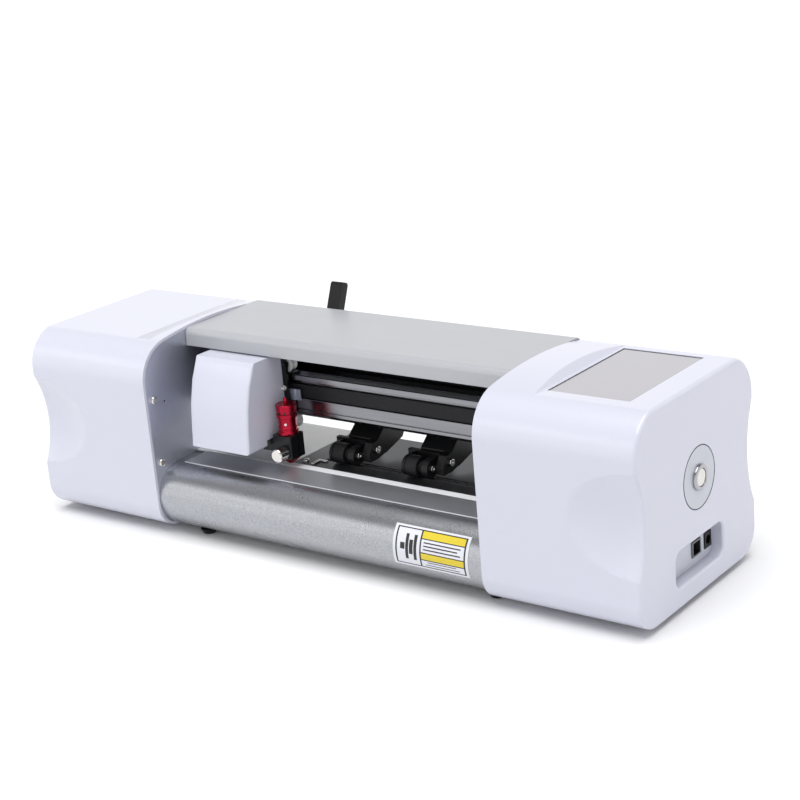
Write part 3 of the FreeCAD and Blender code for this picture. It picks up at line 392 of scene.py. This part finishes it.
# ports and set screws round the holder, all copies of one small disc
ports = {"axis": (-53.5, -30.0), "firstTurn": -62, "radius": 1.0, "depth": 0.6, "sides": 20,
         "lip": 0.25, "dish": 0.2, "round": 0.06, "roundAngle": 50}
portRings = [
    {"body": "holder_cap", "height": 96.7, "out": 7.0, "count": 8, "finish": "labelInk"},
    {"body": "tool", "height": 88.6, "out": 6.8, "count": 2, "finish": "nickel"},
]
bpy.ops.object.select_all(action="DESELECT")
bpy.ops.mesh.primitive_cylinder_add(
    vertices=ports["sides"], radius=ports["radius"] * mm, depth=ports["depth"] * mm,
    rotation=(0, math.radians(90), 0))
portDisc = bpy.context.object
bpy.ops.object.transform_apply(location=True, rotation=True, scale=True)
bpy.ops.object.mode_set(mode="EDIT")
selectFaces(portDisc, lambda face: face.normal.x > 0.9)
bpy.ops.mesh.inset(thickness=ports["lip"] * mm)
bpy.ops.mesh.extrude_region_move(TRANSFORM_OT_translate={"value": (-ports["dish"] * mm, 0, 0)})
bpy.ops.object.mode_set(mode="OBJECT")
softenRims(portDisc, ports["round"], 2, ports["roundAngle"])
for ringNumber, ring in enumerate(portRings):
    for n in range(ring["count"]):
        turn = math.radians(ports["firstTurn"] + 360 / ring["count"] * n)
        port = bpy.data.objects.new("holderPort%d_%d" % (ringNumber, n), portDisc.data.copy())
        bpy.context.scene.collection.objects.link(port)
        port.location = ((ports["axis"][0] + ring["out"] * math.cos(turn)) * mm,
                         (ports["axis"][1] + ring["out"] * math.sin(turn)) * mm, ring["height"] * mm)
        port.rotation_euler = (0, 0, turn)
        pickOnly(port)
        bpy.ops.object.transform_apply(location=True, rotation=True, scale=True)
        dress(port, ring["finish"], ring["body"], "red_anodised")
bpy.data.objects.remove(portDisc)
print("screws and ports set")

# bright metal tab lying on the deck beside the left roller
deckTab = {"low": (-42.5, -21.8), "high": (-39.0, -11.5), "ear": 5.0, "earWidth": 3.0,
           "base": 54.25, "thick": 0.8, "round": 0.25}
lowX, lowY = deckTab["low"]
highX, highY = deckTab["high"]
earStart = (highY - deckTab["earWidth"]) * mm
bpy.ops.object.select_all(action="DESELECT")
bpy.ops.mesh.primitive_cube_add(
    size=1, location=((lowX + highX) / 2 * mm, (lowY + highY) / 2 * mm,
                      (deckTab["base"] + deckTab["thick"] / 2) * mm),
    scale=((highX - lowX) * mm, (highY - lowY) * mm, deckTab["thick"] * mm))
tabPiece = bpy.context.object
tabPiece.name = "deckTab"
bpy.ops.object.transform_apply(location=True, rotation=True, scale=True)
editAll(tabPiece)
bpy.ops.mesh.bisect(plane_co=(0, earStart, 0), plane_no=(0, 1, 0))
selectFaces(tabPiece, lambda face: face.normal.x > 0.9 and face.center.y > earStart)
bpy.ops.mesh.extrude_region_move(TRANSFORM_OT_translate={"value": (deckTab["ear"] * mm, 0, 0)})
bpy.ops.object.mode_set(mode="OBJECT")
softenRims(tabPiece, deckTab["round"])
dress(tabPiece, "nickel", "frame", "nickel")

# folded black sheet under the cover, between the rail and the lever, that closes the view to the back:
# painted shade, a dark sheet put where the shade under the cover falls
shade = {"ends": (-146.0, 146.0), "front": 12.8, "thick": 1.0, "low": 110.0, "high": 148.8,
         "fold": 9.0, "round": 0.2}
foldStart = (shade["high"] - shade["thick"]) * mm
bpy.ops.object.select_all(action="DESELECT")
bpy.ops.mesh.primitive_cube_add(
    size=1, location=(sum(shade["ends"]) / 2 * mm, (shade["front"] + shade["thick"] / 2) * mm,
                      (shade["low"] + shade["high"]) / 2 * mm),
    scale=((shade["ends"][1] - shade["ends"][0]) * mm, shade["thick"] * mm,
           (shade["high"] - shade["low"]) * mm))
paintedShadePiece = bpy.context.object
paintedShadePiece.name = "rearPaintedShade"
bpy.ops.object.transform_apply(location=True, rotation=True, scale=True)
editAll(paintedShadePiece)
bpy.ops.mesh.bisect(plane_co=(0, 0, foldStart), plane_no=(0, 0, 1))
selectFaces(paintedShadePiece, lambda face: face.normal.y < -0.9 and face.center.z > foldStart)
bpy.ops.mesh.extrude_region_move(TRANSFORM_OT_translate={"value": (0, -shade["fold"] * mm, 0)})
bpy.ops.object.mode_set(mode="OBJECT")
softenRims(paintedShadePiece, shade["round"])
# black finish on the sheet: painted shade under the cover
dress(paintedShadePiece, "blackMetal", "frame", "black_metal")

# black gasket round the touch glass
gasket = {"grow": 1.1, "proud": 0.15, "depth": 1.1, "gap": 1.02, "round": 0.08}
glassLow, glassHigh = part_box("touch_glass")
grow = gasket["grow"] * mm
middle = [(a + b) / 2 for a, b in zip(glassLow, glassHigh)]
bpy.ops.object.select_all(action="DESELECT")
bpy.ops.mesh.primitive_cube_add(
    size=1, location=(middle[0], middle[1],
                      glassHigh[2] + (gasket["proud"] - gasket["depth"] / 2) * mm),
    scale=(glassHigh[0] - glassLow[0] + 2 * grow, glassHigh[1] - glassLow[1] + 2 * grow,
           gasket["depth"] * mm))
gasketPiece = bpy.context.object
gasketPiece.name = "glassGasket"
bpy.ops.object.transform_apply(location=True, rotation=True, scale=True)
bpy.ops.object.mode_set(mode="EDIT")
selectFaces(gasketPiece, lambda face: abs(face.normal.z) > 0.9)
bpy.ops.mesh.inset(thickness=grow * gasket["gap"])
bpy.ops.mesh.bridge_edge_loops()
bpy.ops.object.mode_set(mode="OBJECT")
softenRims(gasketPiece, gasket["round"])
dress(gasketPiece, "glassEdge", "frame", "screen_glass")

# dark line round the button disc
discLine = {"outer": 21.4, "inner": 20.9, "thick": 0.15, "sides": 128, "round": 0.03}
discLow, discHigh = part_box("button_disc")
bpy.ops.object.select_all(action="DESELECT")
bpy.ops.mesh.primitive_cylinder_add(
    vertices=discLine["sides"], radius=discLine["outer"] * mm, depth=discLine["thick"] * mm,
    location=(discHigh[0] + discLine["thick"] / 2 * mm, (discLow[1] + discHigh[1]) / 2,
              (discLow[2] + discHigh[2]) / 2),
    rotation=(0, math.radians(90), 0))
linePiece = bpy.context.object
linePiece.name = "discLine"
bpy.ops.object.transform_apply(location=True, rotation=True, scale=True)
bpy.ops.object.mode_set(mode="EDIT")
selectFaces(linePiece, lambda face: abs(face.normal.x) > 0.9)
bpy.ops.mesh.inset(thickness=(discLine["outer"] - discLine["inner"]) * mm)
bpy.ops.mesh.bridge_edge_loops()
bpy.ops.object.mode_set(mode="OBJECT")
softenRims(linePiece, discLine["round"])
dress(linePiece, "motorBlack", "frame", "disc_silver")
print("tab, gasket and disc line made")

cameraSpot = {"place": (0.7795, -0.9608, 0.5024), "turn": (71.95, 4.70, 36.46), "lens": 80.6, "film": 36}
bpy.ops.object.camera_add(location=cameraSpot["place"],
                          rotation=[math.radians(a) for a in cameraSpot["turn"]])
camera = bpy.context.object
camera.data.sensor_width = cameraSpot["film"]
camera.data.lens = cameraSpot["lens"]
bpy.context.scene.camera = camera

floorLook = {"size": 14, "colour": (0.80, 0.80, 0.81, 1), "rough": 0.8}
bpy.ops.mesh.primitive_plane_add(size=floorLook["size"])
floor = bpy.context.object
floor.name = "floor"
paint = bpy.data.materials.new("paleFloor")
paint.use_nodes = True
floorShader = paint.node_tree.nodes["Principled BSDF"]
floorShader.inputs["Base Color"].default_value = floorLook["colour"]
floorShader.inputs["Roughness"].default_value = floorLook["rough"]
floor.data.materials.append(paint)

lamps = [
    {"name": "leftSoftbox", "place": (-1.28, -1.52, 1.0), "aim": (0, 0, 0.05), "size": (1.6, 0.5),
     "power": 2.2},
    {"name": "lowSoftbox", "place": (-0.75, -1.15, 0.22), "aim": (0, -0.07, 0.02), "size": (1.2, 0.3),
     "power": 0.5},
]
for lamp in lamps:
    bpy.ops.object.light_add(type="AREA", location=lamp["place"])
    light = bpy.context.object
    light.name = lamp["name"]
    light.data.shape = "RECTANGLE"
    light.data.size, light.data.size_y = lamp["size"]
    light.data.energy = lamp["power"]
    aim = Vector(lamp["aim"]) - Vector(lamp["place"])
    light.rotation_euler = aim.to_track_quat("-Z", "Y").to_euler()

overhead = {"from": (0.04, -0.16, 0.98), "spread": 55, "strength": 3.1}
bpy.ops.object.light_add(type="SUN", location=overhead["from"])
topLight = bpy.context.object
topLight.name = "topLight"
topLight.data.energy = overhead["strength"]
topLight.data.angle = math.radians(overhead["spread"])
shining = -Vector(overhead["from"])
topLight.rotation_euler = shining.to_track_quat("-Z", "Y").to_euler()

# bright horizon that fades towards a dim ceiling, as in a studio with dark upper walls
skySteps = [(0.0, 1.0), (0.36, 1.0), (0.62, 0.30), (1.0, 0.30)]
world = bpy.data.worlds.new("studio")
world.use_nodes = True
sky = world.node_tree
heading = sky.nodes.new("ShaderNodeTexCoord")
split = sky.nodes.new("ShaderNodeSeparateXYZ")
fade = sky.nodes.new("ShaderNodeValToRGB")
while len(fade.color_ramp.elements) < len(skySteps):
    fade.color_ramp.elements.new(0.5)
for step, (height, level) in zip(fade.color_ramp.elements, skySteps):
    step.position = height
    step.color = (level, level, level, 1)
sky.links.new(heading.outputs["Generated"], split.inputs["Vector"])
sky.links.new(split.outputs["Z"], fade.inputs["Fac"])
sky.links.new(fade.outputs["Color"], sky.nodes["Background"].inputs["Color"])
bpy.context.scene.world = world
bpy.context.scene.view_settings.view_transform = "Standard"
print("studio set")
